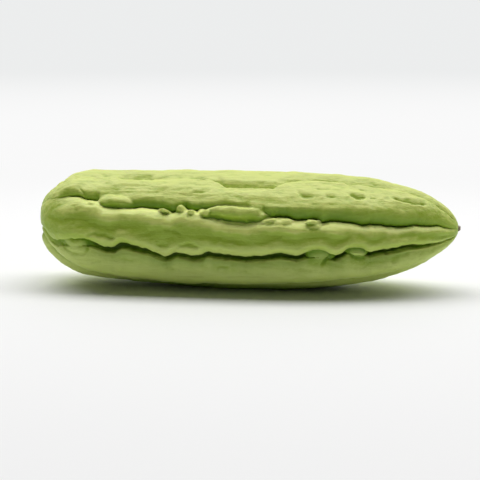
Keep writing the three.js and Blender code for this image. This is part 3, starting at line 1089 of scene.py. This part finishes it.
class GourdColours(bpy.types.PropertyGroup):
    # crown: the pale colour laid where the skin faces up and on ridges, as painted top light and highlight
    crown: colour_property("Crown", "The palest skin", (0.665, 0.74, 0.185))
    # shoulder: painted light, a paler colour on a rib's upper side beside a seam where the rib above shades
    # it
    shoulder: colour_property("Shoulder", "Where a rib's upper side runs into a seam", (0.86, 0.93, 0.3))
    # flank: the colour where the skin faces sideways or down, the shaded side of the painted top light
    flank: colour_property("Flank", "Greener skin below the crowns", (0.34, 0.49, 0.033))
    # painted bounce light from the table: a paler colour on lower skin that faces down
    underside_bounce_light: colour_property("Underside", "Duller skin where it faces down", (0.59, 0.71, 0.18))
    # the skin's own streaks, and also painted shade in the hollows of the upper skin
    streak_and_hollow_shade: colour_property("Streak", "Streaks and hollows in the pale skin", (0.31, 0.43, 0.022))
    # crevice: painted shade in the seams and next to the table, partly the greener skin of the grooves
    crevice: colour_property("Crevice", "Skin deep in the seams", (0.165, 0.31, 0.008))
    # depths: painted shade, near black at the bottom of the deepest seams
    depths: colour_property("Depths", "The bottom of the deepest seams", (0.07, 0.13, 0.004))
    stalk: colour_property("Stalk", "The cut stalk", (0.34, 0.36, 0.15))
    stalk_dark: colour_property("Stalk fibres", "Darker fibres of the stalk", (0.2, 0.22, 0.07))
    dry: colour_property("Dry flower", "Dark parts of the dry flower", (0.24, 0.19, 0.13))
    dry_pale: colour_property("Dry flower edges", "Pale parts of the dry flower", (0.45, 0.38, 0.27))


class GourdStage(bpy.types.PropertyGroup):
    table: colour_property("Table", "The table round the fruit", (0.86, 0.86, 0.86))
    table_bounce: colour_property("Table bounce", "The table as it lights the fruit", (0.9, 0.9, 0.9))
    near_background: colour_property("Near background", "Seen round the fruit", (0.95, 0.95, 0.95))
    far_background: colour_property("Far background", "Seen high up behind the fruit", (0.84, 0.85, 0.85))
    front_light: colour_property("Front light", "Dim light from the camera's side", (0.05, 0.05, 0.05))
    backdrop_light: colour_property("Backdrop light", "Light from the backdrop behind", (0.1, 0.1, 0.1))
    window_light: colour_property("Window light", "Broad light from high up behind", (0.86, 0.86, 0.86))
    lamp_power: number_property("Lamp power", "Of the softbox", 21.8, unit="POWER")
    lamp_height: length_property("Lamp height", "Of the softbox above the table", 1.2)
    lamp_lean: angle_property("Lamp lean", "How far behind the fruit the softbox hangs", 11.0)
    azimuth: angle_property("Azimuth", "Of the camera, round from the front", 6.0)
    elevation: angle_property("Elevation", "Of the camera", 11.0)
    distance: length_property("Camera distance", "From the camera to its aim", 0.6476)


class GOURD_OT_stage(bpy.types.Operator):
    """Set up the table, the background, the softbox and the camera"""

    bl_idname = "gourd.stage"
    bl_label = "Stage"

    def execute(self, context):
        stage = context.scene.gourd_stage
        make_camera(stage)
        make_floor(stage)
        make_world(stage)
        make_lamp(stage)
        context.scene.view_settings.view_transform = "Standard"
        return {"FINISHED"}


class GOURD_OT_skin(bpy.types.Operator):
    """Model the fruit with its ribs, seams, lumps and dents"""

    bl_idname = "gourd.skin"
    bl_label = "Gourd skin"

    def execute(self, context):
        sizes = context.scene.gourd_sizes
        make_gourd(sizes.girth_radius / MM, sizes.flat_depth / MM, sizes.seed, context.scene.gourd_colours)
        return {"FINISHED"}


class GOURD_OT_stalk_stub(bpy.types.Operator):
    """Model the cut stub of the stalk in the hollow at the stem end"""

    bl_idname = "gourd.stalk_stub"
    bl_label = "Stalk stub"

    def execute(self, context):
        make_stalk_stub(context.scene.gourd_colours)
        return {"FINISHED"}


class GOURD_OT_blossom_nub(bpy.types.Operator):
    """Model the dry remains of the flower at the point"""

    bl_idname = "gourd.blossom_nub"
    bl_label = "Blossom nub"

    def execute(self, context):
        make_blossom_nub(context.scene.gourd_colours)
        return {"FINISHED"}


class GOURD_PT_panel(bpy.types.Panel):
    """Lists the pieces of the gourd and its stage"""

    bl_label = "Bitter gourd"
    bl_idname = "GOURD_PT_panel"
    bl_space_type = "VIEW_3D"
    bl_region_type = "UI"
    bl_category = "Gourd"

    def draw(self, context):
        for operator in OPERATORS:
            self.layout.operator(operator.bl_idname)


OPERATORS = (GOURD_OT_stage, GOURD_OT_skin, GOURD_OT_stalk_stub, GOURD_OT_blossom_nub)
GROUPS = {"gourd_sizes": GourdSizes, "gourd_colours": GourdColours, "gourd_stage": GourdStage}
CLASSES = (*GROUPS.values(), *OPERATORS, GOURD_PT_panel)


def register():
    for cls in CLASSES:
        bpy.utils.register_class(cls)
    for name, group in GROUPS.items():
        setattr(bpy.types.Scene, name, bpy.props.PointerProperty(type=group))


def unregister():
    for name in GROUPS:
        delattr(bpy.types.Scene, name)
    for cls in reversed(CLASSES):
        bpy.utils.unregister_class(cls)


def main():
    register()
    bpy.ops.gourd.stage()
    bpy.ops.gourd.skin()
    bpy.ops.gourd.stalk_stub()
    bpy.ops.gourd.blossom_nub()


if __name__ == "__main__":
    main()
